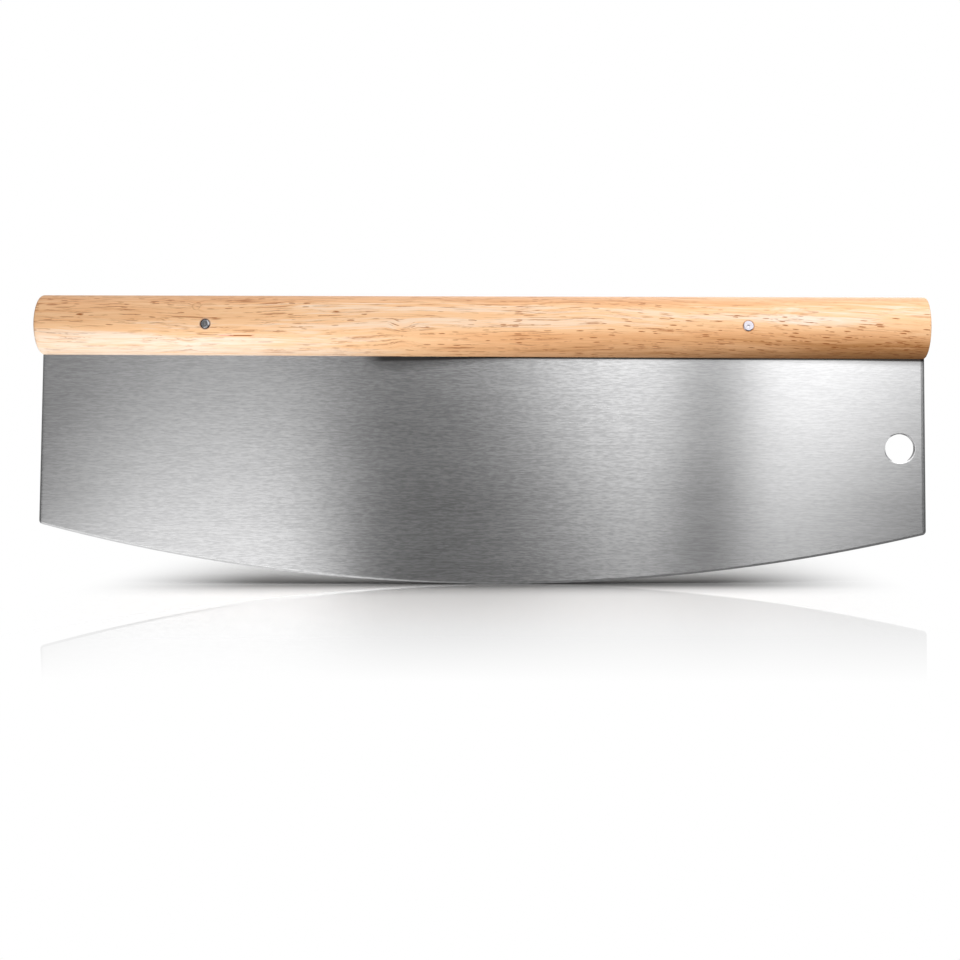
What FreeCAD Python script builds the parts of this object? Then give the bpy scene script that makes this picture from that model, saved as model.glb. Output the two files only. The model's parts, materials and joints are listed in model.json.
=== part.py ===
import FreeCAD, Part
import math
import os

# A rocking knife for pizza: a steel blade with a curved edge, set in the slot of a round
# wooden handle and held there by two steel pins. Millimetres, +Z up, X along the blade,
# Y through its thickness. The origin is the lowest point of the cutting edge.

# Handle: a round dowel, sawn square at both ends
handle_length = 350.0
handle_diameter = 24.0
handle_rim_round = 0.8  # rounding of the rim at each end

# Slot along the handle's underside, open at both ends
slot_side_clearance = 0.05  # on each side of the blade
slot_roof_clearance = 0.6  # above the blade's top

# Blade: one flat sheet, its curved edge ground on both faces
blade_thickness = 1.5
blade_drop = 89.8  # from the handle's underside to the edge's lowest point
blade_setback = 0.2  # of the blade's ends behind the handle's, at its underside
blade_end_lean = 0.99  # degrees that each end leans out towards the edge
tang_rise = 5.5  # of the blade's top above the handle's axis
rocking_radius = 724.6  # of the curved edge
corner_radius = 1.6  # of the sheet's four corners
bevel_height = 0.6  # of the ground band along the edge
edge_land = 0.3  # thickness left at the very edge

# Hanging hole through the blade, near its +X end
hang_hole_diameter = 11.0
hang_hole_inset = 9.8  # from the blade's end to the hole's centre
hang_hole_drop = 34.7  # from the handle's underside to the hole's centre
hang_hole_chamfer = 0.25

# Pins through handle and tang, on the handle's axis
pin_diameter = 4.0
pin_spacing = 211.6
pin_clearance = 0.02  # around each pin, in the wood and in the steel
pin_crown = 0.25  # height of each domed end
pin_proud = 0.05  # of the dome's top above the wood

cut_overrun = 1.0  # by which a cutting tool passes the surface it starts from

# Worked out from the sizes above
handle_radius = handle_diameter / 2
handle_axis_z = blade_drop + handle_radius
blade_top_z = handle_axis_z + tang_rise
blade_end_slope = math.tan(math.radians(blade_end_lean))
pin_radius = pin_diameter / 2
pin_places_x = {"pin_left": -pin_spacing / 2, "pin_right": pin_spacing / 2}

along_x = FreeCAD.Vector(1, 0, 0)
along_y = FreeCAD.Vector(0, 1, 0)


def point(x, y, z):
    return FreeCAD.Vector(x, y, z)


def blade_half_length(z):
    # The ends are straight lines that lean out as they go down.
    return handle_length / 2 - blade_setback + (blade_drop - z) * blade_end_slope


def corner_height():
    # Where an end's line meets the circle of the edge: the lower root of its equation.
    reach = blade_half_length(0)
    square = 1 + blade_end_slope**2
    middle = rocking_radius + reach * blade_end_slope
    return (middle - math.sqrt(middle**2 - square * reach**2)) / square


def blade_blank():
    # The sheet before grinding, with its four corners rounded.
    corner_z = corner_height()
    top_right = point(blade_half_length(blade_top_z), 0, blade_top_z)
    low_right = point(blade_half_length(corner_z), 0, corner_z)
    low_left = point(-low_right.x, 0, corner_z)
    top_left = point(-top_right.x, 0, blade_top_z)
    outline = [
        Part.makeLine(top_left, top_right),
        Part.makeLine(top_right, low_right),
        Part.Arc(low_right, point(0, 0, 0), low_left).toShape(),
        Part.makeLine(low_left, top_left),
    ]
    sheet = Part.Face(Part.Wire(outline)).extrude(along_y * blade_thickness)
    sheet.translate(along_y * (-blade_thickness / 2))
    corners = [edge for edge in sheet.Edges if edge.BoundBox.YLength > blade_thickness / 2]
    return sheet.makeFillet(corner_radius, corners)


def bevel_tool(side):
    # A ring about the rocking axis, whose inner wall is the cone of one ground face.
    # side is -1 for the front face and 1 for the back one.
    tip = point(0, side * edge_land / 2, 0)
    shoulder = point(0, side * blade_thickness / 2, bevel_height)
    start = tip - (shoulder - tip)
    end = shoulder + (shoulder - tip)
    outside = point(0, end.y, start.z)
    profile = Part.Face(Part.makePolygon([start, end, outside, start]))
    return profile.revolve(point(0, 0, rocking_radius), along_y, 360)


def hang_hole_tool():
    # A spool: the bore, widening by a 45 degree chamfer at both faces of the blade.
    radius = hang_hole_diameter / 2
    centre_z = blade_drop - hang_hole_drop
    centre = point(blade_half_length(centre_z) - hang_hole_inset, 0, centre_z)
    bore_y = blade_thickness / 2 - hang_hole_chamfer
    mouth_y = blade_thickness / 2 + cut_overrun
    mouth_radius = radius + hang_hole_chamfer + cut_overrun
    corners = [
        point(0, -mouth_y, 0),
        point(mouth_radius, -mouth_y, 0),
        point(radius, -bore_y, 0),
        point(radius, bore_y, 0),
        point(mouth_radius, mouth_y, 0),
        point(0, mouth_y, 0),
        point(0, -mouth_y, 0),
    ]
    profile = Part.Face(Part.makePolygon([centre + corner for corner in corners]))
    return profile.revolve(centre, along_y, 360)


def pin_hole_tool(place_x):
    # One drill passes through wood and steel.
    half = handle_radius + cut_overrun
    start = point(place_x, -half, handle_axis_z)
    return Part.makeCylinder(pin_radius + pin_clearance, half * 2, start, along_y)


def slot_tool():
    half_width = blade_thickness / 2 + slot_side_clearance
    half_length = handle_length / 2 + cut_overrun
    low_z = blade_drop - cut_overrun
    roof_z = blade_top_z + slot_roof_clearance
    corner = point(-half_length, -half_width, low_z)
    return Part.makeBox(half_length * 2, half_width * 2, roof_z - low_z, corner)


def blade():
    shape = blade_blank()
    tools = [bevel_tool(-1), bevel_tool(1), hang_hole_tool()]
    tools += [pin_hole_tool(place_x) for place_x in pin_places_x.values()]
    for tool in tools:
        shape = shape.cut(tool)
    return shape


def handle():
    start = point(-handle_length / 2, 0, handle_axis_z)
    shape = Part.makeCylinder(handle_radius, handle_length, start, along_x)
    rims = [edge for edge in shape.Edges if edge.BoundBox.XLength < handle_length / 2]
    shape = shape.makeFillet(handle_rim_round, rims)
    tools = [slot_tool()]
    tools += [pin_hole_tool(place_x) for place_x in pin_places_x.values()]
    for tool in tools:
        shape = shape.cut(tool)
    return shape


def pin(place_x):
    # A rod turned about the Y axis, with a shallow dome hammered on each end.
    tip_y = handle_radius + pin_proud
    rim_y = tip_y - pin_crown
    dome_radius = (pin_radius**2 + pin_crown**2) / (2 * pin_crown)
    half_way = pin_radius / 2
    half_way_y = tip_y - dome_radius + math.sqrt(dome_radius**2 - half_way**2)
    centre = point(place_x, 0, handle_axis_z)
    front = centre + point(0, -tip_y, 0)
    front_rim = centre + point(pin_radius, -rim_y, 0)
    back_rim = centre + point(pin_radius, rim_y, 0)
    back = centre + point(0, tip_y, 0)
    outline = [
        Part.Arc(front, centre + point(half_way, -half_way_y, 0), front_rim).toShape(),
        Part.makeLine(front_rim, back_rim),
        Part.Arc(back_rim, centre + point(half_way, half_way_y, 0), back).toShape(),
        Part.makeLine(back, front),
    ]
    return Part.Face(Part.Wire(outline)).revolve(centre, along_y, 360)


nodes = {"blade": blade(), "handle": handle()}
for name, place_x in pin_places_x.items():
    nodes[name] = pin(place_x)

os.makedirs("parts", exist_ok=True)
for name, shape in nodes.items():
    shape.exportStep(f"parts/{name}.step")
    print(name, shape.ShapeType, len(shape.Solids), shape.isValid(), round(shape.Volume, 1), "mm3")
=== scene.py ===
import json
import math

import bmesh
import bpy
import numpy as np
from mathutils import Matrix, Vector


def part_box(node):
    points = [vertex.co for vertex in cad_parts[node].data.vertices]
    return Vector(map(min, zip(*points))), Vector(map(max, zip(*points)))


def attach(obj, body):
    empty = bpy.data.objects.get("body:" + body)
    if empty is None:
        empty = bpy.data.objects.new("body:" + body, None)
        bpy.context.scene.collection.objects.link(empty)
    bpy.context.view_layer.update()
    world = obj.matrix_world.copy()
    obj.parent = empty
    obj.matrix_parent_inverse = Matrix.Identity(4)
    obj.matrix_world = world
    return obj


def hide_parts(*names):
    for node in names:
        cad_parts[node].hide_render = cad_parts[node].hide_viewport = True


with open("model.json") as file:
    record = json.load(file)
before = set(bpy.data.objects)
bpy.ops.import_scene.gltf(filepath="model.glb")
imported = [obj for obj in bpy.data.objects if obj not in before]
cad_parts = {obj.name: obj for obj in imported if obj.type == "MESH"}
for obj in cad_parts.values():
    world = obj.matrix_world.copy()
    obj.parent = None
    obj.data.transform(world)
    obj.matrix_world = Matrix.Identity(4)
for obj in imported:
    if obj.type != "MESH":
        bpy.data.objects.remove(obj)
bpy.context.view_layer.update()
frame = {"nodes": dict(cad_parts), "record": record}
print("frame loaded:", sorted(frame["nodes"]))

# sizes that the CAD pieces give, in metres
bladeLow, bladeHigh = (np.array(corner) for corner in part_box("blade"))
handleLow, handleHigh = (np.array(corner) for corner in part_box("handle"))
pinBoxes = {name: [np.array(corner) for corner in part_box(name)] for name in ("pin_left", "pin_right")}
handleRadius = (handleHigh[1] - handleLow[1]) / 2
handleAxisZ = (handleHigh[2] + handleLow[2]) / 2
handleHalf = (handleHigh[0] - handleLow[0]) / 2
pinRadius = (pinBoxes["pin_left"][1][0] - pinBoxes["pin_left"][0][0]) / 2
pinPlaces = [(low[0] + high[0]) / 2 for low, high in pinBoxes.values()]
pinTip = pinBoxes["pin_left"][1][1]
pinClearance = 0.00002
pinHoleRadius = pinRadius + pinClearance
hangMount = frame["record"]["mounts"][0]

mergeDistance = 0.000002  # between points that become one
sharpAngle = math.radians(30)  # between faces whose edge stays sharp
blockReach = 1.3  # of the block of cells that makes way for a hole, in the hole's radii


# mesh helpers

def weldedMesh(name, parts):
    # joins grids given as (points, faces), merges what touches and turns faces outwards
    points, faces, count = [], [], 0
    for partPoints, partFaces in parts:
        points.append(partPoints)
        faces += (np.asarray(partFaces) + count).tolist()
        count += len(partPoints)
    mesh = bpy.data.meshes.new(name)
    mesh.from_pydata(np.concatenate(points).tolist(), [], faces)
    work = bmesh.new()
    work.from_mesh(mesh)
    bmesh.ops.remove_doubles(work, verts=work.verts, dist=mergeDistance)
    loose = [vertex for vertex in work.verts if not vertex.link_faces]
    bmesh.ops.delete(work, geom=loose, context="VERTS")
    bmesh.ops.recalc_face_normals(work, faces=work.faces)
    openEdges = sum(not edge.is_manifold for edge in work.edges)
    work.to_mesh(mesh)
    work.free()
    print(name, len(mesh.polygons), "faces,", openEdges, "open edges")
    return mesh


def addObject(name, data):
    thing = bpy.data.objects.new(name, data)
    bpy.context.scene.collection.objects.link(thing)
    return thing


def addPiece(name, mesh, material, node):
    mesh.shade_smooth()
    mesh.set_sharp_from_angle(angle=sharpAngle)
    mesh.materials.append(material)
    piece = addObject(name, mesh)
    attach(piece, "root")
    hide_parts(node)
    return piece


def cellCorners(index):
    # the four corners of each cell in a grid of point numbers
    corners = (index[:-1, :-1], index[1:, :-1], index[1:, 1:], index[:-1, 1:])
    return np.stack(corners, axis=-1)


def gridPart(x, y, z, closed=False):
    # points and quads of a grid, from arrays that fit it; closed joins its last column to the first
    points = np.stack(np.broadcast_arrays(x, y, z), axis=-1).reshape(-1, 3)
    index = np.arange(len(points)).reshape(np.broadcast(x, y, z).shape)
    if closed:
        index = np.concatenate([index, index[:, :1]], axis=1)
    return points, cellCorners(index).reshape(-1, 4)


def holeAngles(count):
    # even steps round a circle, starting at the lower left diagonal
    return -0.75 * math.pi + 2 * math.pi * np.arange(count) / count


def holedSheet(flat, holes, shares):
    # a grid of flat points with round holes: round each hole a block of cells makes way for rings,
    # whose points go from the block's border to the circle by the given shares
    rows, columns = flat.shape[:2]
    points = flat.reshape(-1, 2)
    index = np.arange(rows * columns).reshape(rows, columns)
    keep = np.ones((rows - 1, columns - 1), bool)
    ringFaces, counts = [], []
    for centre, radius in holes:
        near = np.hypot(*(flat - centre).transpose(2, 0, 1)) < radius * blockReach
        i, j = np.nonzero(near)
        i0, i1 = max(i.min() - 1, 0), min(i.max() + 1, rows - 1)
        j0, j1 = max(j.min() - 1, 0), min(j.max() + 1, columns - 1)
        keep[i0:i1, j0:j1] = False
        sides = (index[i0:i1, j0], index[i1, j0:j1], index[i1:i0:-1, j1], index[i0, j1:j0:-1])
        loop = np.concatenate(sides)
        border = points[loop]
        angles = holeAngles(len(loop))
        circle = np.array(centre) + radius * np.stack([np.cos(angles), np.sin(angles)], axis=-1)
        for share in shares:
            ring = len(points) + np.arange(len(loop))
            points = np.concatenate([points, border + (circle - border) * share])
            ringFaces.append(np.stack([loop, np.roll(loop, -1), np.roll(ring, -1), ring], axis=-1))
            loop = ring
        counts.append(len(loop))
    return points, np.concatenate([cellCorners(index)[keep]] + ringFaces), counts


def stretchLines(stops, cells):
    # positions that divide each stretch between two stops into its number of cells
    lines = [np.linspace(low, high, count + 1)[1:] for low, high, count in zip(stops, stops[1:], cells)]
    return np.concatenate([[stops[0]]] + lines)


# node helpers

def freshTree(block):
    block.use_nodes = True
    block.node_tree.nodes.clear()
    return block.node_tree


def put(kind, inputs, tree=None, **options):
    # a node with its options set and each input given a value or a link; without links it needs a tree
    links = {socket: value for socket, value in inputs.items() if isinstance(value, bpy.types.NodeSocket)}
    tree = tree or next(iter(links.values())).id_data
    node = tree.nodes.new("ShaderNode" + kind)
    for option, value in options.items():
        setattr(node, option, value)
    for socket, value in inputs.items():
        if socket in links:
            tree.links.new(value, node.inputs[socket])
        else:
            node.inputs[socket].default_value = value
    return node


def calc(operation, *values):
    return put("Math", dict(enumerate(values)), operation=operation).outputs[0]


def vectorCalc(operation, *values):
    return put("VectorMath", dict(enumerate(values)), operation=operation).outputs[0]


def timesPlus(value, factor, total):
    return calc("MULTIPLY_ADD", value, factor, total)


def apart(first, second):
    return calc("ABSOLUTE", calc("SUBTRACT", first, second))


def product(*values):
    total = values[0]
    for value in values[1:]:
        total = calc("MULTIPLY", total, value)
    return total


def axes(vector):
    return put("SeparateXYZ", {0: vector}).outputs


def ramp(value, low, high, start, end, interpolation="LINEAR"):
    # a step from start to end while the value goes from low to high
    inputs = {0: value, 1: low, 2: high, 3: start, 4: end}
    return put("MapRange", inputs, interpolation_type=interpolation).outputs[0]


def fade(value, low, high, start=0, end=1):
    return ramp(value, low, high, start, end, "SMOOTHSTEP")


def fades(value, steps):
    # several smooth steps of one value, multiplied
    return product(*(fade(value, *step) for step in steps))


def mixColour(factor, first, second):
    return put("Mix", {0: factor, 6: first, 7: second}, data_type="RGBA").outputs[2]


def mixValue(factor, first, second):
    return put("Mix", {0: factor, 2: first, 3: second}, data_type="FLOAT").outputs[0]


def mixShader(factor, first, second):
    return put("MixShader", {0: factor, 1: first.outputs[0], 2: second.outputs[0]})


def scaled(vector, scale, location=(0, 0, 0)):
    inputs = {"Vector": vector, "Scale": scale, "Location": location}
    return put("Mapping", inputs).outputs[0]


def stretched(vector, along, across, seed=0):
    # sizes in metres of a pattern drawn out along the dowel
    return scaled(vector, (1 / along, 1 / across, 1 / across), (seed, seed, seed))


def noise(vector, detail=2, roughness=0.5):
    inputs = {"Vector": vector, "Scale": 1, "Detail": detail, "Roughness": roughness}
    return put("TexNoise", inputs).outputs["Fac"]


def bumped(height, distance):
    inputs = {"Height": height, "Distance": distance, "Strength": 1}
    return put("Bump", inputs).outputs[0]


def newMaterial(name):
    # an empty material and the place on its object, in metres
    material = bpy.data.materials.new(name)
    return material, put("TexCoord", {}, freshTree(material)).outputs["Object"]


def addSurface(inputs):
    shader = put("BsdfPrincipled", inputs)
    put("OutputMaterial", {"Surface": shader.outputs[0]})


def grey(level):
    return (level, level, level, 1)


# blade: a flat sheet with a rolled rim, a ground edge, a hanging hole and two pin holes

bladeShape = {
    "rockingRadius": 0.7246,
    "endLean": math.radians(0.99),
    "endSetback": 0.0002,
    "cornerRadius": 0.0016,
    "bevelHeight": 0.0006,
    "edgeLand": 0.0003,
    # the sheared rim at the left and the right end: width, depth below the face and round of its arris
    "rollWidths": (0.0007, 0.0014),
    "rollDepths": (0.00005, 0.00004),
    "rimRounds": (0.00018, 0.00028),
    # points of the sheared rim, as shares of its width, depth and round
    "widthShares": (1.06, 1, 0.92, 0.5),
    "depthShares": (0, 0.02, 0.12, 0.52),
    "arrisShare": 0.3,
    # points of the ground edge, as shares of the corners' radius and of the bevel's height
    "faceShares": (1, 0.8, 0.6),
    "bevelShares": (1.05, 0.95, 0.6, 0.3, 0, 0),
    "holeRound": 0.0003,
    "holeShift": (0.00025, -0.0001),  # of the hole's mouth against its bore
    "holeSteps": 6,
    "ringShares": (0.4, 0.75, 0.9, 1),  # rings of points round a hole
    "cell": 0.0016,
    "cornerSteps": 8,
}


def bladeOutline(shape, columns, rows):
    # the closed outline as points, outward normals and a mask of the ground edge
    lean, small, big = shape["endLean"], shape["cornerRadius"], shape["rockingRadius"]
    top = bladeHigh[2]
    underside = handleAxisZ - handleRadius
    halfAtZero = handleHalf - shape["endSetback"] + underside * math.tan(lean)
    endNormal = np.array([math.cos(lean), math.sin(lean)])
    downEnd = np.array([math.sin(lean), -math.cos(lean)])
    reach = math.cos(lean) * halfAtZero - small
    drop = math.sqrt((big - small) ** 2 - (reach - big * math.sin(lean)) ** 2) - big * math.cos(lean)
    lowCentre = endNormal * reach + downEnd * drop
    topCentre = np.array([(reach - math.sin(lean) * (top - small)) / math.cos(lean), top - small])
    turn = math.atan2(lowCentre[0], big - lowCentre[1])
    quarter = math.pi / 2
    steps = shape["cornerSteps"]

    def corner(centre, start, end):
        angles = np.linspace(start, end, steps)
        normals = np.stack([np.cos(angles), np.sin(angles)], axis=-1)
        return centre + normals * small, normals

    flip = np.array([-1, 1])
    sweep = np.linspace(-turn, turn, columns)
    edgeNormals = np.stack([np.sin(sweep), -np.cos(sweep)], axis=-1)
    edge = np.array([0, big]) + edgeNormals * big
    climb = np.linspace(0, 1, rows)[:, None]
    right = lowCentre + (topCentre - lowCentre) * climb + endNormal * small
    across = np.linspace(topCentre[0], -topCentre[0], columns)
    upper = np.stack([across, np.full(columns, top)], axis=-1)
    fading = np.linspace(1, 0, steps)
    stretches = [
        (edge, edgeNormals, np.ones(columns)),
        (*corner(lowCentre, turn - quarter, lean), fading),
        (right, np.tile(endNormal, (rows, 1)), np.zeros(rows)),
        (*corner(topCentre, lean, quarter), np.zeros(steps)),
        (upper, np.tile([0, 1], (columns, 1)), np.zeros(columns)),
        (*corner(topCentre * flip, quarter, math.pi - lean), np.zeros(steps)),
        (right[::-1] * flip, np.tile(endNormal * flip, (rows, 1)), np.zeros(rows)),
        (*corner(lowCentre * flip, math.pi - lean, 3 * quarter - turn), fading[::-1]),
    ]
    points, normals, ground = (np.concatenate(column) for column in zip(*stretches))
    return points, normals, ground, topCentre


def bladeMesh(shape):
    half = (bladeHigh[1] - bladeLow[1]) / 2
    columns = round((bladeHigh[0] - bladeLow[0]) / shape["cell"])
    rows = round((bladeHigh[2] - bladeLow[2]) / shape["cell"])
    outline, normals, ground, topCentre = bladeOutline(shape, columns, rows)

    # faces: lines from the inset edge up to the inset top, with the three holes
    inset = shape["cornerRadius"]
    bottom = outline[:columns] - normals[:columns] * inset
    upper = np.linspace(-topCentre[0], topCentre[0], columns)
    upper = np.stack([upper, np.full(columns, topCentre[1])], axis=-1)
    climb = np.linspace(0, 1, rows)[None, :, None]
    flat = bottom[:, None] + (upper - bottom)[:, None] * climb
    hang = np.array([hangMount["pos_m"][0], hangMount["pos_m"][2]])
    hangRadius = hangMount["dims"]["r_mm"] / 1000
    shift = np.array(shape["holeShift"])
    holes = [(hang + shift, hangRadius + shape["holeRound"])]
    holes += [((place, handleAxisZ), pinHoleRadius) for place in pinPlaces]
    sheet, quads, counts = holedSheet(flat, holes, shape["ringShares"])
    parts = [(np.insert(sheet, 1, y, axis=1), quads) for y in (-half, half)]

    # rim: two profiles of (inset, depth), one sheared and one ground, mixed by the mask and carried
    # round the outline, from the front face over the rim to the back face
    pairs = (shape["rollWidths"], shape["rollDepths"], shape["rimRounds"])
    width, roll, arris = (np.where(outline[:, 0] > 0, right, left) for left, right in pairs)
    none = np.zeros_like(width)
    bite = arris * shape["arrisShare"]
    widths = [width * share for share in shape["widthShares"]]
    sinks = [roll * share for share in shape["depthShares"]]
    insets = np.stack([none + inset, *widths, arris, bite, none, none])
    depths = half - np.stack([none, *sinks, roll, roll + bite, roll + arris, none + half])
    sheared = np.stack([insets, depths], axis=-1)
    slope = (half - shape["edgeLand"] / 2) / shape["bevelHeight"]
    bevels = [inset * share for share in shape["faceShares"]]
    bevels = np.array(bevels + [shape["bevelHeight"] * share for share in shape["bevelShares"]])
    grounds = np.minimum(half, shape["edgeLand"] / 2 + bevels * slope)
    grounds[-1] = 0.0
    keen = np.stack([bevels, grounds], axis=-1)[:, None]
    mix = ground[None, :, None]
    profile = sheared * (1 - mix) + keen * mix
    profile = np.concatenate([profile, profile[-2::-1]])
    side = np.concatenate([-np.ones(len(insets)), np.ones(len(insets) - 1)])[:, None]
    place = outline[None] - normals[None] * profile[..., :1]
    parts.append(gridPart(place[..., 0], profile[..., 1] * side, place[..., 1], closed=True))

    # lips of the holes: a quarter round at each face of the hanging hole, plain walls at the pins
    bend = np.linspace(0, math.pi / 2, shape["holeSteps"])
    lip = shape["holeRound"]
    share = np.concatenate([1 - np.sin(bend), 1 - np.sin(bend[::-1])])
    height = half - lip * (1 - np.cos(bend))
    height = np.concatenate([-height, height[::-1]])
    lips = [(hang + shift * share[:, None], hangRadius + lip * share, height)]
    for centre, radius in holes[1:]:
        lips.append((np.array([centre, centre]), np.full(2, radius), np.array([-half, half])))
    for (centres, radii, heights), count in zip(lips, counts):
        angles = holeAngles(count)
        x = centres[:, :1] + radii[:, None] * np.cos(angles)
        z = centres[:, 1:] + radii[:, None] * np.sin(angles)
        parts.append(gridPart(x, heights[:, None], z, closed=True))
    return weldedMesh("blade", parts)


def addBrushUv(mesh, name):
    # U along the brushing and V across it; the thickness is added so that no face collapses
    corners = np.empty(len(mesh.loops), np.int32)
    mesh.loops.foreach_get("vertex_index", corners)
    points = np.empty(len(mesh.vertices) * 3, np.float32)
    mesh.vertices.foreach_get("co", points)
    x, y, z = points.reshape(-1, 3)[corners].T
    mesh.uv_layers.new(name=name).data.foreach_set("uv", np.stack([x + y, z + y], axis=-1).ravel())


# handle: a dowel's section with its slot, carried along X, with rounded rims and pin holes

handleShape = {
    "slotHalf": 0.0008,
    "slotRoof": 0.0061,  # above the axis
    "rimRound": 0.0008,
    "lipRound": 0.0003,  # of the slot's two arrises
    "pinReach": 0.0042,  # half the width of the fine cells about a pin
    "pinCells": 20,
    "ringShares": (0.4, 0.75, 1),  # rings of points round a pin's hole
    "lengthCells": (18, 52, 18),
    "wallCells": (14, 4),  # of the slot's walls below and above the pins
    "arcSideCells": 12,
    "lipCells": 4,
    "roofCells": 3,
    "rimSteps": 7,
    "capSteps": 6,
}


def handleMesh(shape):
    half, roof, bend = shape["slotHalf"], shape["slotRoof"], shape["rimRound"]
    lip, fine, pinCells = shape["lipRound"], shape["pinReach"], shape["pinCells"]
    axis = handleAxisZ

    # along the dowel: x and radius, which shrinks by a quarter round at each end; lengths are
    # those of the unrolled skin
    end = handleHalf - bend
    stops = [-end]
    for place in pinPlaces:
        stops += [place - fine, place + fine]
    low, middle, high = shape["lengthCells"]
    straight = stretchLines(stops + [end], (low, pinCells, middle, pinCells, high))
    turn = np.linspace(0, math.pi / 2, shape["rimSteps"])[1:]
    rim = end + bend * np.sin(turn)
    shrink = handleRadius - bend + bend * np.cos(turn)
    x = np.concatenate([-rim[::-1], straight, rim])
    radius = np.concatenate([shrink[::-1], np.full(len(straight), handleRadius), shrink])
    unrolled = np.concatenate([-(end + bend * turn)[::-1], straight, end + bend * turn])

    # slot: the round of each lip lies against the skin and the wall
    lipZ = -np.sqrt((radius - lip) ** 2 - (half + lip) ** 2)
    skinEnd = math.pi - np.arcsin((half + lip) / (radius - lip))
    fullLipZ, fullEnd = lipZ.min(), skinEnd[len(turn)]
    below, above = shape["wallCells"]
    wall = stretchLines((fullLipZ, -fine, fine, roof), (below, pinCells, above))
    slotCells = 2 * (shape["lipCells"] + len(wall) - 1) + shape["roofCells"]

    # skin: as many cells round the arc as round the slot, so that the end faces are ruled
    front = handleRadius * math.pi / 2
    arcEnd = fullEnd * handleRadius
    arcSide = shape["arcSideCells"]
    arcStops = (-arcEnd, -front - fine, -front + fine, front - fine, front + fine, arcEnd)
    arcMiddle = slotCells - 2 * pinCells - 2 * arcSide
    arc = stretchLines(arcStops, (arcSide, pinCells, arcMiddle, pinCells, arcSide))

    def skin(length, along):
        # unrolled length and arc to a point: y is minus the radius times the angle's sine
        around = np.interp(length, unrolled, radius)
        angle = along / arcEnd * np.interp(length, unrolled, skinEnd)
        return np.interp(length, unrolled, x), -around * np.sin(angle), axis + around * np.cos(angle)

    lengthGrid, arcGrid = np.meshgrid(unrolled, arc, indexing="ij")
    holes = [((place, side * front), pinHoleRadius) for place in pinPlaces for side in (1, -1)]
    rings = shape["ringShares"]
    sheet, quads, counts = holedSheet(np.stack([lengthGrid, arcGrid], axis=-1), holes, rings)
    parts = [(np.stack(skin(*sheet.T), axis=-1), quads)]

    lipStart = np.arctan2(lipZ, -(half + lip))
    lipTurn = np.linspace(0, 1, shape["lipCells"] + 1)
    lipAngle = lipStart[:, None] * (1 - lipTurn)
    lipY = -(half + lip) + lip * np.cos(lipAngle)
    lipHeight = lipZ[:, None] + lip * np.sin(lipAngle)
    wallGrid = np.meshgrid(unrolled, wall, indexing="ij")
    wallHoles = [((place, 0), pinHoleRadius) for place in pinPlaces]
    wallSheet, wallQuads, _ = holedSheet(np.stack(wallGrid, axis=-1), wallHoles, rings)
    wallLip = np.interp(wallSheet[:, 0], unrolled, lipZ)
    wallZ = roof - (roof - wallSheet[:, 1]) * (roof - wallLip) / (roof - fullLipZ)
    wallX = np.interp(wallSheet[:, 0], unrolled, x)
    for side in (1, -1):
        parts.append(gridPart(x[:, None], lipY * side, axis + lipHeight))
        wallY = np.full(len(wallX), -half * side)
        parts.append((np.stack([wallX, wallY, axis + wallZ], axis=-1), wallQuads))
    roofY = np.linspace(-half, half, shape["roofCells"] + 1)
    parts.append(gridPart(x[:, None], roofY, axis + roof))

    # tubes of the pin holes, from the skin to the slot
    for ((place, along), _), count in zip(holes, counts):
        angles = holeAngles(count)
        side = math.copysign(1, along)
        cosine, sine = pinHoleRadius * np.cos(angles), pinHoleRadius * np.sin(angles)
        outside = skin(place + cosine, along + sine)
        inside = (place + cosine, np.full(count, -half * side), axis - side * sine)
        ends = [np.stack(pair) for pair in zip(outside, inside)]
        parts.append(gridPart(*ends, closed=True))

    # end faces, ruled between the skin's last line and the slot's
    slotY = np.concatenate([lipY[0], np.full(len(wall) - 1, -half), roofY[1:],
        np.full(len(wall) - 1, half), -lipY[0][-2::-1]])
    wallEnd = roof - (roof - wall) * (roof - lipZ[0]) / (roof - fullLipZ)
    slotZ = np.concatenate([lipHeight[0], wallEnd[1:], np.full(len(roofY) - 1, roof),
        wallEnd[-2::-1], lipHeight[0][-2::-1]])
    _, arcY, arcZ = skin(np.full(len(arc), unrolled[-1]), arc[::-1])
    share = np.linspace(0, 1, shape["capSteps"] + 1)[:, None]
    capY = arcY + (slotY - arcY) * share
    capZ = arcZ + (axis + slotZ - arcZ) * share
    for place in (-handleHalf, handleHalf):
        parts.append(gridPart(np.full_like(capY, place), capY, capZ))
    return weldedMesh("handle", parts)


# pins: rods whose ends are domes flattened by a few hammer blows

pinShape = {
    "crown": 0.00025,
    "rings": 16,
    "around": 64,
    "dimple": 0.00005,
    "dimpleRadius": 0.00032,
    # blows on the front and the back of each pin: bearing and slope in degrees, depth in metres
    "blows": {
        "pin_left": (
            ((150, 2, 0.00012), (20, 8, -0.00004), (95, 9, -0.00005), (290, 7, -0.00002)),
            ((80, 5, 0.00005), (210, 7, 0.00005), (320, 4, 0.00003)),
        ),
        "pin_right": (
            ((50, 2, 0.00022), (200, 9, -0.00008), (310, 9, -0.00006)),
            ((20, 6, 0.00005), (150, 4, 0.00004), (250, 7, 0.00006)),
        ),
    },
}


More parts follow.
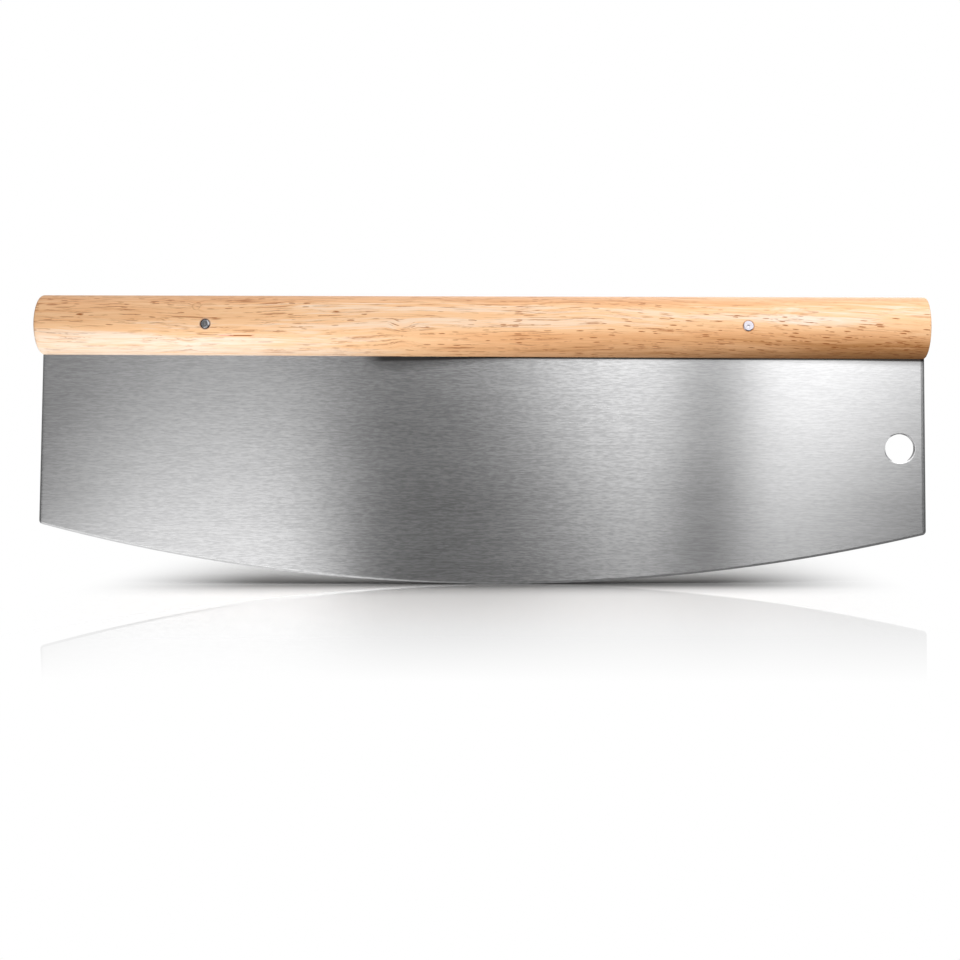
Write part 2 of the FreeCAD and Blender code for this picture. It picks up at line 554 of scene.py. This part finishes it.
def pinMesh(name, shape):
    # a polar grid: rings widen over the front end and narrow over the back one; an end's height is
    # the lowest of its dome and the planes of its blows, less a round dimple in the middle
    place = (pinBoxes[name][0][0] + pinBoxes[name][1][0]) / 2
    radii = pinRadius * np.linspace(0, 1, shape["rings"])[:, None]
    angles = np.linspace(0, 2 * math.pi, shape["around"], endpoint=False)
    dome = pinTip - shape["crown"] * (radii / pinRadius) ** 2
    dimple = shape["dimple"] * np.exp(-((radii / shape["dimpleRadius"]) ** 2))
    heights = []
    for blows in shape["blows"][name]:
        height = np.broadcast_to(dome, (len(radii), len(angles)))
        for bearing, slope, depth in blows:
            across = radii * np.cos(angles - math.radians(bearing))
            height = np.minimum(height, pinTip - depth - across * math.tan(math.radians(slope)))
        heights.append(height - dimple)
    radii = np.concatenate([radii, radii[::-1]])
    y = np.concatenate([-heights[0], heights[1][::-1]])
    x = place + radii * np.cos(angles)
    z = handleAxisZ + radii * np.sin(angles)
    return weldedMesh(name, [gridPart(x, y, z, closed=True)])


# materials; a fade is given as from, to, start and end, or as from and to where it goes from 0 to 1

steelMarks = {
    # how many marks fit in a metre along X, Y and Z: two sizes of dashes with their shares, and clouds
    "dashes": (((110, 800, 1700), 0.35), ((380, 1700, 2500), 0.65)),
    "dashDetail": 1,
    "cloud": (14, 60, 45),
}


def steelStreaksGroup(marks):
    # dashes along X left by brushing, in two sizes, and clouds
    group = bpy.data.node_groups.new("steelStreaks", "ShaderNodeTree")
    face = group.interface
    face.new_socket("Vector", in_out="INPUT", socket_type="NodeSocketVector")
    for name in ("Tone", "Cloud"):
        face.new_socket(name, in_out="OUTPUT", socket_type="NodeSocketFloat")
    start = group.nodes.new("NodeGroupInput").outputs["Vector"]
    end = group.nodes.new("NodeGroupOutput")
    tone = 0.0
    for size, share in marks["dashes"]:
        tone = timesPlus(noise(scaled(start, size), marks["dashDetail"]), share, tone)
    group.links.new(tone, end.inputs["Tone"])
    group.links.new(noise(scaled(start, marks["cloud"])), end.inputs["Cloud"])
    return group


bladeFinish = {
    "dark": (0.545, 0.545, 0.55, 1),
    "pale": (0.735, 0.735, 0.74, 1),
    "roughness": (0.14, 0.16),
    "noiseRange": (0.3, 0.7),  # of dashes and clouds
    "contrasts": ((-0.12, -0.02, 0.75, 1.15), (0.04, 0.11, 1.15, 0.45)),  # of the dashes, along X
    "anisotropy": 0.88,
    "brushTurn": 0.25,  # of a full turn, between the tangent and the brushing
    "brushMap": "brushing",
    "bumpHeight": 0.000001,
    # a painted shadow line under the handle: along X its start, two depths that add up and its strength,
    # and its fade downwards, in depths
    "paintedShadowColour": (0.028, 0.022, 0.018, 1),
    "paintedShadowStart": (-0.047, -0.036),
    "paintedShadowDepths": ((-0.036, 0.012, 0.0021, 0.00065), (0.14, 0.172, 0, 0.00035)),
    "paintedShadowShare": (-0.03, 0.01, 0.85, 0.98),
    "paintedShadowFade": (0.6, 1.5, 1, 0),
    # the painted soft shade below it: two strengths along X that add up, and its fade downwards, in depths
    "paintedShades": ((0, 0.03, 1, 0.3), (0.09, 0.16, 0, 0.6)),
    "paintedShadeFade": (0.5, 4, 0.5, 0),
}


def paintedShadowUnderHandle(x, z, finish):
    # mask of the painted shadow line under the handle and of the painted soft shade below it
    below = calc("SUBTRACT", handleAxisZ - handleRadius, z)
    begins = fade(x, *finish["paintedShadowStart"])
    depth = calc("ADD", *(fade(x, *limits) for limits in finish["paintedShadowDepths"]))
    down = calc("DIVIDE", below, depth)
    core = product(fade(down, *finish["paintedShadowFade"]), begins, fade(x, *finish["paintedShadowShare"]))
    shade = calc("ADD", *(fade(x, *limits) for limits in finish["paintedShades"]))
    soft = product(fade(down, *finish["paintedShadeFade"]), begins, shade)
    return calc("MAXIMUM", core, soft)


def bladeSteel(finish, streaks):
    material, place = newMaterial("bladeSteel")
    x, _, z = axes(place)
    marks = put("Group", {"Vector": place}, node_tree=streaks).outputs
    tone = fade(marks["Tone"], *finish["noiseRange"], -0.5, 0.5)
    contrast = calc("MINIMUM", *(fade(x, *limits) for limits in finish["contrasts"]))
    tone = timesPlus(tone, contrast, 0.5)
    colour = mixColour(tone, finish["dark"], finish["pale"])
    # painted shadow of the handle on the steel: a dark line and a soft shade below it
    colour = mixColour(paintedShadowUnderHandle(x, z, finish), colour, finish["paintedShadowColour"])
    tangent = put("Tangent", {}, place.id_data, direction_type="UV_MAP", uv_map=finish["brushMap"])
    addSurface({
        "Base Color": colour,
        "Metallic": 1,
        "Roughness": ramp(marks["Cloud"], *finish["noiseRange"], *finish["roughness"]),
        "Anisotropic": finish["anisotropy"],
        "Anisotropic Rotation": finish["brushTurn"],
        "Normal": bumped(marks["Tone"], finish["bumpHeight"]),
        "Tangent": tangent.outputs[0],
    })
    return material


pinFinish = {
    "dark": (0.42, 0.405, 0.445, 1),
    "pale": (0.6, 0.575, 0.625, 1),
    "markScale": (4, 1, 0.5),  # against the blade's marks
    "leftPinShade": (0.38, 0.38, 0.39, 1),  # painted shade that makes the left pin darker
    "leftPinShadeShare": 0.85,
    # painted shade at each pin's rim: its colour, and where it starts from the axis
    "paintedRimShade": (0.09, 0.085, 0.08, 1),
    "rimStart": 0.00196,
    "leftPinRimShift": 0.0003,  # how much earlier the left pin darkens
    "ragged": 0.0004,  # how far the start of that darkening wanders
    "raggedSize": 1500,  # wanderings in a metre
    "roughness": 0.2,
    "bumpHeight": 0.000003,
}


def pinDistance(place):
    # distance from the nearer pin's axis, in metres
    x, _, z = axes(place)
    across = calc("SUBTRACT", calc("ABSOLUTE", x), pinPlaces[1])
    up = calc("SUBTRACT", z, handleAxisZ)
    squares = (calc("POWER", side, 2) for side in (across, up))
    return calc("SQRT", calc("ADD", *squares))


def pinSteel(finish, streaks):
    material, place = newMaterial("pinSteel")
    spread = scaled(place, finish["markScale"])
    marks = put("Group", {"Vector": spread}, node_tree=streaks).outputs
    colour = mixColour(marks["Tone"], finish["dark"], finish["pale"])
    # painted shade: the left pin is darker all over, and its painted rim shade starts earlier
    leftPinShaded = calc("LESS_THAN", axes(place)[0], 0)
    colour = mixColour(calc("MULTIPLY", leftPinShaded, finish["leftPinShadeShare"]), colour, finish["leftPinShade"])
    ragged = noise(scaled(place, [finish["raggedSize"]] * 3))
    ragged = timesPlus(ragged, finish["ragged"], -finish["ragged"] / 2)
    distance = calc("ADD", pinDistance(place), ragged)
    distance = timesPlus(leftPinShaded, finish["leftPinRimShift"], distance)
    # painted shade at the rim of each pin, which wanders and starts earlier on the left pin
    rim = fade(distance, finish["rimStart"], pinRadius)
    addSurface({
        "Base Color": mixColour(rim, colour, finish["paintedRimShade"]),
        "Metallic": 1,
        "Roughness": finish["roughness"],
        "Normal": bumped(marks["Tone"], finish["bumpHeight"]),
    })
    return material


woodFinish = {
    "cream": (0.81, 0.67, 0.545, 1),
    "peach": (0.81, 0.5, 0.275, 1),
    "tan": (0.735, 0.395, 0.19, 1),
    "brown": (0.5, 0.225, 0.075, 1),
    "vessel": (0.32, 0.105, 0.026, 1),
    "resin": (0.84, 0.38, 0.28, 1),
    "toneSteps": {"peach": (0.05, 0.4), "tan": (0.38, 0.7), "brown": (0.65, 1)},  # on from cream
    "roughness": (0.48, 0.65),  # of the wood and of its vessels
    "specular": 0.5,
    "bumpHeight": 0.00002,  # depth of a vessel
    "fibreBump": 0.12,  # height of the fibre as a share of it
    # noises drawn out along the dowel: size along and across it, seed, detail and roughness
    "bands": (0.2, 0.0045, 3, 2, 0.5),
    "streaks": (0.045, 0.0011, 1, 3, 0.6),
    "fibre": (0.012, 0.00045, 0, 2, 0.6),
    "clusters": (0.05, 0.012, 5, 2, 0.5),
    "hairs": (0.04, 0.0007, 11, 1, 0.5),
    "hairCuts": (0.014, 0.0014, 7, 2, 0.6),
    "ragged": (0.0025, 0.0008, 9, 1, 0.5),
    "wobble": (0.002, 0.0013, 0, 2, 0.5),
    "resinBreaks": (0.0013, 0.0013, 6, 2, 0.5),
    # drift of the grain: size along and across, detail, and how far it goes along X, Y and Z
    "drift": (0.085, 0.035, 1.5, (0, 0.01, 0.007)),
    "grainFall": (0.05, 0.06),  # towards the right end: where it begins, and how steep it is
    # knots that push the grain aside: place from the axis, reach, strength and radius of a dark ring
    "knots": (
        ((-0.1099, -0.0097, 0.0073), 0.0045, 0.9, 0.0017),
        ((-0.1132, -0.0087, -0.0085), 0.005, 0.6, 0.0002),
        ((-0.028, -0.0112, -0.0045), 0.008, 0.7, 0.0003),
    ),
    "ringFade": (0.0001, 0.0004, 1, 0),  # from the ring's line
    "ringWobble": 0.002,
    "ringShare": 0.7,
    # tone: its start, and the share of each noise
    "toneStart": -0.445,
    "toneShares": {"bands": 0.7, "streaks": 0.5, "fibre": 0.45},
    # paler and darker patches, partly the wood's own tone and partly painted light and shade: share in
    # the tone, fades along X, and fades over the height from the axis
    "patches": {
        "leftHigh": (0.13, ((-0.1, -0.03, 1, 0),), ((-0.0005, 0.003),)),
        "leftLow": (-0.2, ((-0.12, -0.01, 1, 0),), ((-0.0095, 0.003, 1, 0),)),
        "midPale": (-0.1, ((-0.1, -0.05), (0.02, 0.08, 1, 0)), ((-0.003, -0.0005), (0.006, 0.009, 1, 0))),
        "rightLow": (0.34, ((-0.075, 0.03),), ((-0.0062, 0.0006, 1, 0),)),
        "rightDeep": (0.34, ((0.08, 0.165),), ((-0.0105, -0.006, 1, 0),)),
        "rightHigh": (-0.15, ((0.02, 0.13),), ((-0.001, 0.003), (0.005, 0.0095, 1, 0))),
        "rightTop": (0.26, ((-0.16, -0.05, 0.4, 1), (0.08, 0.12, 1, 0.75)), ((0.0065, 0.0095),)),
        "rightMid": (0.15, ((0.13, 0.165),), ((-0.004, -0.001), (0.001, 0.004, 1, 0))),
    },
    "patchRagged": 0.006,  # how far the streaks shift the patches up and down
    # no vein is as pale between two stretches of sapwood: fades along X, and the least tone
    "between": ((-0.11, -0.05), (0.08, 0.13, 1, 0)),
    "betweenTone": 0.2,
    # crowding of the vessels: level, rise per metre along X, share of the clusters, and a twist that
    # crowds them high on the left and low on the right; then a patch with fewer
    "crowd": (0.22, 1.4, 0.5, -2800),
    "sparse": (-0.12, ((-0.11, -0.07), (0.03, 0.06, 1, 0)), ((-0.004, 0),)),
    "jog": 0.0003,  # how far vessels are ragged sideways
    # hairlines: fades of their width, of the noise that cuts them, and along X
    "hairFades": ((0.012, 0.06, 1, 0), (0.45, 0.6), (0, 0.12, 0.7, 0.4)),
    # dashes: length and width of their cells, width in a cell, seed, and crowding for none and for all
    "longDashes": (0.026, 0.0006, 0.26, 5, 0.92, 1.32),
    "shortDashes": (0.006, 0.00075, 0.31, 8, 1.08, 1.32),
    "dashCore": 0.62,  # share of a dash's width that is fully dark
    "longRise": -1.2,  # change of the long dashes' crowding per metre along X
    "sapwoodLoss": 0.4,  # of the vessels' strength, low on the left
    # a streak of resin: ends, length of its tapers, height from the axis, half its width, where it turns
    # dark from its middle on, and the fade of the noise that breaks it there
    "resinEnds": (-0.1014, -0.0859),
    "resinTaper": 0.002,
    "resinHeight": -0.0045,
    "resinHalf": 0.0003,
    "resinDark": (-0.004, -0.001),
    "resinBroken": (0.25, 0.45),
    # reach from the rim and strength: a pale ring round the left pin, and a dark gap round both
    "pinRings": ((0.0008, 0.6), (0.00055, 0.8)),
}


def drawnNoise(vector, pattern):
    along, across, seed, detail, roughness = pattern
    return noise(stretched(vector, along, across, seed), detail, roughness)


def woodGrain(place, finish):
    # grain that drifts, gives way to knots and falls to the right; also a mask of the knots' rings
    along, across, detail, drift = finish["drift"]
    slow = put("TexNoise", {"Vector": stretched(place, along, across), "Scale": 1, "Detail": detail})
    push = vectorCalc("SUBTRACT", slow.outputs["Color"], (0.5, 0.5, 0.5))
    grain = vectorCalc("ADD", place, vectorCalc("MULTIPLY", push, drift))
    wobble = drawnNoise(place, finish["wobble"])
    wobble = timesPlus(wobble, finish["ringWobble"], -finish["ringWobble"] / 2)
    rings = 0.0
    for centre, reach, strength, ring in finish["knots"]:
        arm = vectorCalc("SUBTRACT", place, centre)
        distance = put("VectorMath", {0: arm}, operation="LENGTH").outputs["Value"]
        pull = fade(distance, 0, reach, strength, 0)
        shove = put("VectorMath", {0: arm, "Scale": pull}, operation="SCALE").outputs[0]
        grain = vectorCalc("ADD", grain, shove)
        line = fade(apart(calc("ADD", distance, wobble), ring), *finish["ringFade"])
        rings = calc("MAXIMUM", rings, line)
    start, slope = finish["grainFall"]
    beyond = calc("SUBTRACT", axes(place)[0], start)
    fall = calc("MULTIPLY", calc("MAXIMUM", beyond, 0), slope)
    grain = vectorCalc("ADD", grain, put("CombineXYZ", {2: fall}).outputs[0])
    return grain, rings


def woodTone(place, grain, finish):
    # tone from cream to brown, with patches that are partly painted light and shade; also the fibre, and
    # the pale patch low on the left, partly sapwood and partly painted light
    x, _, z = axes(place)
    layers = {name: drawnNoise(grain, finish[name]) for name in finish["toneShares"]}
    tone = finish["toneStart"]
    for name, share in finish["toneShares"].items():
        tone = timesPlus(layers[name], share, tone)
    wander = calc("SUBTRACT", layers["streaks"], 0.5)
    level = timesPlus(wander, finish["patchRagged"], z)
    patches = {}
    # patches by height and along X, partly the wood's own tone and partly painted light and shade
    for name, (share, alongFades, upFades) in finish["patches"].items():
        patches[name] = product(fades(x, alongFades), fades(level, upFades))
        tone = timesPlus(patches[name], share, tone)
    least = calc("MULTIPLY", fades(x, finish["between"]), finish["betweenTone"])
    return calc("MAXIMUM", tone, least), layers["fibre"], patches["leftLow"]


def vesselDashes(grain, crowd, core, dashes):
    # long thin cells; crowding decides how many of them are dark
    along, across, width, seed, few, many = dashes
    cells = put("TexVoronoi", {"Vector": stretched(grain, along, across, seed), "Scale": 1})
    chance = axes(cells.outputs["Color"])[0]
    strength = fade(calc("ADD", crowd, chance), few, many)
    return product(fade(cells.outputs["Distance"], core * width, width, 1, 0), strength)


def woodVessels(place, grain, rings, sapwoodAndLitPatch, finish):
    # hairlines where a noise passes its middle, cut by a second noise, then dashes and rings
    x, _, z = axes(place)
    level, rise, share, twist = finish["crowd"]
    crowd = timesPlus(x, rise, level)
    crowd = timesPlus(drawnNoise(place, finish["clusters"]), share, crowd)
    crowd = timesPlus(product(x, calc("ABSOLUTE", x), z), twist, crowd)
    share, alongFades, upFades = finish["sparse"]
    sparse = product(fades(x, alongFades), fades(z, upFades))
    crowd = timesPlus(sparse, share, crowd)
    ragged = drawnNoise(place, finish["ragged"])
    jog = calc("MULTIPLY", ragged, finish["jog"])
    grain = vectorCalc("ADD", grain, put("CombineXYZ", {1: jog, 2: jog}).outputs[0])
    offLine = apart(drawnNoise(grain, finish["hairs"]), 0.5)
    cuts = drawnNoise(grain, finish["hairCuts"])
    faded = zip((offLine, cuts, x), finish["hairFades"])
    hairs = product(*(fade(value, *limits) for value, limits in faded))
    longCrowd = timesPlus(x, finish["longRise"], crowd)
    long = vesselDashes(grain, longCrowd, finish["dashCore"], finish["longDashes"])
    short = vesselDashes(grain, crowd, finish["dashCore"], finish["shortDashes"])
    vessels = product(rings, ragged, finish["ringShare"])
    for kind in (hairs, long, short):
        vessels = calc("MAXIMUM", vessels, kind)
    return product(vessels, timesPlus(sapwoodAndLitPatch, -finish["sapwoodLoss"], 1))


def resinStreak(place, colour, finish):
    # pink at its left half, dark and broken at its right, on the front only
    x, y, z = axes(place)
    start, end = finish["resinEnds"]
    taper, half = finish["resinTaper"], finish["resinHalf"]
    off = apart(z, finish["resinHeight"])
    ends = ((start, start + taper), (end - taper, end, 1, 0))
    resin = product(fade(off, half / 2, half, 1, 0), fades(x, ends))
    resin = product(resin, calc("LESS_THAN", y, 0))
    turns = [(start + end) / 2 + offset for offset in finish["resinDark"]]
    broken = fade(drawnNoise(place, finish["resinBreaks"]), *finish["resinBroken"])
    dark = product(fade(x, *turns), broken)
    return mixColour(resin, colour, mixColour(dark, finish["resin"], finish["vessel"]))


def pinSurrounds(objectPlace, colour, finish):
    # a pale ring in the wood round the left pin, and a dark gap round both
    fromPin = pinDistance(objectPlace)
    left = calc("LESS_THAN", axes(objectPlace)[0], 0)
    halo, gap = (fade(fromPin, pinRadius, pinRadius + reach, share, 0)
        for reach, share in finish["pinRings"])
    colour = mixColour(product(halo, left), colour, finish["cream"])
    return mixColour(gap, colour, finish["vessel"])


def handleWood(finish):
    material, objectPlace = newMaterial("handleWood")
    place = scaled(objectPlace, (1, 1, 1), (0, 0, -handleAxisZ))
    grain, rings = woodGrain(place, finish)
    tone, fibre, sapwoodAndLitPatch = woodTone(place, grain, finish)
    colour = finish["cream"]
    for name, limits in finish["toneSteps"].items():
        colour = mixColour(fade(tone, *limits), colour, finish[name])
    vessels = woodVessels(place, grain, rings, sapwoodAndLitPatch, finish)
    colour = mixColour(vessels, colour, finish["vessel"])
    colour = resinStreak(place, colour, finish)
    height = calc("MULTIPLY", fibre, finish["fibreBump"])
    height = timesPlus(vessels, -1, height)
    addSurface({
        "Base Color": pinSurrounds(objectPlace, colour, finish),
        "Roughness": ramp(vessels, 0, 1, *finish["roughness"]),
        "Specular IOR Level": finish["specular"],
        "Normal": bumped(height, finish["bumpHeight"]),
    })
    return material


steelStreaks = steelStreaksGroup(steelMarks)
bladeData = bladeMesh(bladeShape)
addBrushUv(bladeData, bladeFinish["brushMap"])
knifePieces = [
    addPiece("bladeSheet", bladeData, bladeSteel(bladeFinish, steelStreaks), "blade"),
    addPiece("handleDowel", handleMesh(handleShape), handleWood(woodFinish), "handle"),
]
pinMaterial = pinSteel(pinFinish, steelStreaks)
for pinName, pieceName in (("pin_left", "pinLeft"), ("pin_right", "pinRight")):
    knifePieces.append(addPiece(pieceName, pinMesh(pinName, pinShape), pinMaterial, pinName))
print("pieces made")


# camera of the photograph: place in metres, turns in radians, focal length and axis row in pixels

cameraSetup = {
    "place": (0.03974, -0.58727, 0.067265),
    "yaw": 0.0642,
    "roll": 0.0077,
    "focalPixels": 1484.5,
    "axisRow": 413.86,
    "imageSide": 960,
    "sensorWidth": 36,
    "clipStart": 0.01,
}


# studio: a world that shows softboxes to metal, four lamps, two fills and a white floor

studio = {
    # light seen in metal: its level at the horizon, its rise per degree of elevation, and its limits
    "base": (0.187, 0.018, 0.11, 0.45),
    # upright panels in it: left and right edge as bearing, lean per degree of elevation and softness,
    # in degrees, then the same values as the base
    "panels": (
        ((-16.3, 0.55, 7), (-9.4, 0, 4.8), (0.42, -0.142, 0, 1.5)),
        ((-0.45, -0.3, 7.3), (3.95, 0.1, 2.3), (0.945, 0.07, 0, 1.6)),
        ((6.4, 0, 2.7), (11.8, 0.65, 6), (1.29, 0.095, 0, 2.2)),
    ),
    "mirrorLow": -8,  # the lowest elevation that the floor's mirror image shows
    # fades over the elevation: the floor's light in metal, the same in the floor's mirror image, and
    # the panels' share
    "floorGlow": (-20, -9, 0.12, 0),
    "mirrorGlow": (-40, -20, 0.2, 0),
    "panelShare": (-30, -9, 0.5, 1),
    "woodShare": 0.15,  # what wood gets of the light in metal
}


def rising(elevation, horizon, rise, low, high):
    level = timesPlus(elevation, rise, horizon)
    return calc("MINIMUM", calc("MAXIMUM", level, low), high)


def panelEdge(bearing, elevation, edge, start, end):
    # a soft step across one edge, which may lean
    place, lean, soft = edge
    along = timesPlus(elevation, -lean, bearing)
    return fade(along, place - soft / 2, place + soft / 2, start, end)


def panelGlow(bearing, elevation, panel):
    # an upright strip of light that brightens up or down its length
    left, right, levels = panel
    starts = panelEdge(bearing, elevation, left, 0, 1)
    stops = panelEdge(bearing, elevation, right, 1, 0)
    return product(starts, stops, rising(elevation, *levels))


def addWorld(setup):
    world = bpy.data.worlds.new("studio")
    tree = freshTree(world)
    east, _, up = axes(put("TexCoord", {}, tree).outputs["Generated"])
    bearing, elevation = (calc("DEGREES", calc("ARCSINE", part)) for part in (east, up))
    ray = put("LightPath", {}, tree).outputs
    # metal in the floor's mirror shows the same light as above it, upside down
    mirrored = calc("GREATER_THAN", ray["Glossy Depth"], 1.5)
    below = product(mirrored, fade(elevation, *setup["mirrorGlow"]))
    low = calc("MULTIPLY", calc("ABSOLUTE", elevation), -1)
    low = calc("MAXIMUM", low, setup["mirrorLow"])
    elevation = mixValue(mirrored, elevation, low)
    glow = rising(elevation, *setup["base"])
    glow = calc("ADD", glow, fade(elevation, *setup["floorGlow"]))
    glow = calc("ADD", glow, below)
    share = fade(elevation, *setup["panelShare"])
    for panel in setup["panels"]:
        glow = timesPlus(panelGlow(bearing, elevation, panel), share, glow)
    # metal looks dim to wood, so that the underside of the handle stays in shade
    direct = calc("LESS_THAN", ray["Diffuse Depth"], 0.5)
    glow = calc("MULTIPLY", glow, calc("MAXIMUM", direct, setup["woodShare"]))
    level = calc("MULTIPLY", ray["Is Glossy Ray"], glow)
    # plain white for the camera and in the floor's mirror
    seen = calc("MAXIMUM", ray["Is Camera Ray"], ray["Is Singular Ray"])
    level = mixValue(seen, level, 1)
    sky = put("Background", {"Strength": level, "Color": grey(1)})
    put("OutputWorld", {"Surface": sky.outputs[0]})
    bpy.context.scene.world = world


# lamps: place, aim, size along and across, power in watts, and what it lights
lampSetup = {
    "lowLeft": ((-0.13, -0.055, -0.1), (-0.1, 0, 0.1), 0.22, 0.08, 0.56, "knife"),
    "highRight": ((0.33, -0.58, 0.4), (0.05, 0, 0.1), 0.4, 0.4, 5.2, "knife"),
    "overhead": ((0, 0.05, 1), (0, 0.05, 0), 1.2, 0.3, 3.6, "floor"),
    "overFront": ((0, -0.525, 1), (0, -0.525, 0), 1.2, 0.85, 12.9, "floor"),
}
# even light on the knife from above and below: the way it shines and its level
fillSetup = {
    "fillAbove": (-1, 0.38),
    "fillBelow": (1, 0.27),
}
fillSpread = math.radians(178)


def addLamp(name, light, place, aim, lit):
    lamp = addObject(name, light)
    lamp.location = place
    lamp.rotation_euler = (Vector(aim) - Vector(place)).to_track_quat("-Z", "Y").to_euler()
    lamp.visible_glossy = False
    lamp.visible_camera = False
    lamp.light_linking.receiver_collection = lit


def addLamps(setup, fill, floor, pieces):
    lit = {}
    for name, members in (("floor", [floor]), ("knife", pieces)):
        lit[name] = bpy.data.collections.new(name)
        for member in members:
            lit[name].objects.link(member)
    for name, (place, aim, along, across, power, target) in setup.items():
        light = bpy.data.lights.new(name, "AREA")
        light.shape = "RECTANGLE"
        light.size, light.size_y, light.energy = along, across, power
        addLamp(name, light, place, aim, lit[target])
    for name, (way, level) in fill.items():
        light = bpy.data.lights.new(name, "SUN")
        light.angle = fillSpread
        light.energy = math.pi * level
        addLamp(name, light, (0, 0, -way), (0, 0, way), lit["knife"])


floorSetup = {
    "half": 6,
    "tilt": 0.0165,  # the knife stands rocked, so the floor rises to its right
    "albedo": 0.96,
    "softness": 0.012,  # how far light spreads inside the floor
    "contacts": (0.042, 0.014),  # reach of a wide and a narrow shade close to the blade
    # more shade just in front of the edge: fades from front to back, and its strength along X
    "strip": ((-0.024, -0.003), (0.001, 0.006, 1, 0)),
    "stripShade": (-0.06, 0.09, 0.32, 0.5),
    # plain white further off: middle of the shadow, and fades to the sides and in depth
    "shadowMiddle": 0.005,
    "shadowEnds": (0.085, 0.165, 1, 0),
    "shadowDepth": (0.08, 0.15, 1, 0),
    # mirror image: strength towards the edge, share along X, and fade at its start, which curves forward
    # with the square of the way from the contact
    "mirror": (-0.215, 0, 0, 0.55),
    "mirrorRight": (0, 0.05, 1, 0.7),
    "mirrorStart": (-0.002, 0.005),
    "mirrorCurve": 6,
}


def floorWhite(setup, contactX):
    # shadow and a faint mirror image near the knife, plain white further off
    material, place = newMaterial("whiteFloor")
    tree = place.id_data
    along, deep, _ = axes(place)
    free = [put("AmbientOcclusion", {"Distance": reach}, tree).outputs["AO"] for reach in setup["contacts"]]
    # painted shadow: a strip of extra shade just in front of the edge, on top of the computed contact shade
    strip = product(fades(deep, setup["strip"]), fade(along, *setup["stripShade"]))
    contact = product(*free, calc("SUBTRACT", 1, strip))
    soft = put("SubsurfaceScattering", {
        "Color": grey(setup["albedo"]),
        "Scale": setup["softness"],
        "Radius": (1, 1, 1),
    }, tree)
    matt = mixShader(contact, put("BsdfDiffuse", {"Color": grey(0)}, tree), soft)
    across = apart(along, setup["shadowMiddle"])
    near = product(fade(across, *setup["shadowEnds"]),
        fade(calc("ABSOLUTE", deep), *setup["shadowDepth"]))
    plain = mixShader(near, put("Emission", {"Color": grey(1), "Strength": 1}, tree), matt)
    image = put("BsdfGlossy", {"Color": grey(1), "Roughness": 0}, tree)
    aside = calc("POWER", apart(along, contactX), 2)
    ahead = calc("MULTIPLY", deep, -1)
    ahead = timesPlus(aside, -setup["mirrorCurve"], ahead)
    share = product(ramp(deep, *setup["mirror"]), calc("LESS_THAN", deep, 0),
        fade(ahead, *setup["mirrorStart"]), fade(along, *setup["mirrorRight"]))
    shiny = mixShader(share, plain, image)
    # nothing shows from below
    below = put("NewGeometry", {}, tree).outputs["Backfacing"]
    shown = mixShader(below, shiny, put("BsdfTransparent", {}, tree))
    put("OutputMaterial", {"Surface": shown.outputs[0]})
    return material


def addFloor(setup):
    # a plane that touches the round edge and rises along the camera's own horizontal
    tilt, turn, radius = setup["tilt"], cameraSetup["yaw"], bladeShape["rockingRadius"]
    ends = [-setup["half"], setup["half"]]
    x, y = np.meshgrid(ends, ends, indexing="ij")
    z = math.tan(tilt) * (x * math.cos(turn) + y * math.sin(turn)) + radius * (1 - 1 / math.cos(tilt))
    points, faces = gridPart(x, y, z)
    mesh = bpy.data.meshes.new("floor")
    mesh.from_pydata(points.tolist(), [], faces.tolist())
    mesh.materials.append(floorWhite(setup, radius * math.sin(tilt)))
    floor = addObject("floor", mesh)
    floor.visible_diffuse = False
    floor.visible_glossy = False
    floor.visible_shadow = False
    return floor


def addCamera(setup):
    yaw, roll, side = setup["yaw"], setup["roll"], setup["imageSide"]
    ahead = Vector((-math.sin(yaw), math.cos(yaw), 0))
    right = Vector((math.cos(yaw), math.sin(yaw), 0))
    up = Vector((0, 0, 1))
    axisX = right * math.cos(roll) + up * math.sin(roll)
    axisY = up * math.cos(roll) - right * math.sin(roll)
    lens = bpy.data.cameras.new("camera")
    lens.sensor_width = setup["sensorWidth"]
    lens.lens = lens.sensor_width * setup["focalPixels"] / side
    lens.shift_y = (setup["axisRow"] - side / 2) / side
    lens.clip_start = setup["clipStart"]
    camera = addObject("camera", lens)
    turn = Matrix((axisX, axisY, -ahead)).transposed()
    camera.matrix_world = Matrix.Translation(setup["place"]) @ turn.to_4x4()
    bpy.context.scene.camera = camera


addWorld(studio)
whiteFloor = addFloor(floorSetup)
addLamps(lampSetup, fillSetup, whiteFloor, knifePieces)
addCamera(cameraSetup)
bpy.context.scene.view_settings.view_transform = "Standard"
print("studio set")
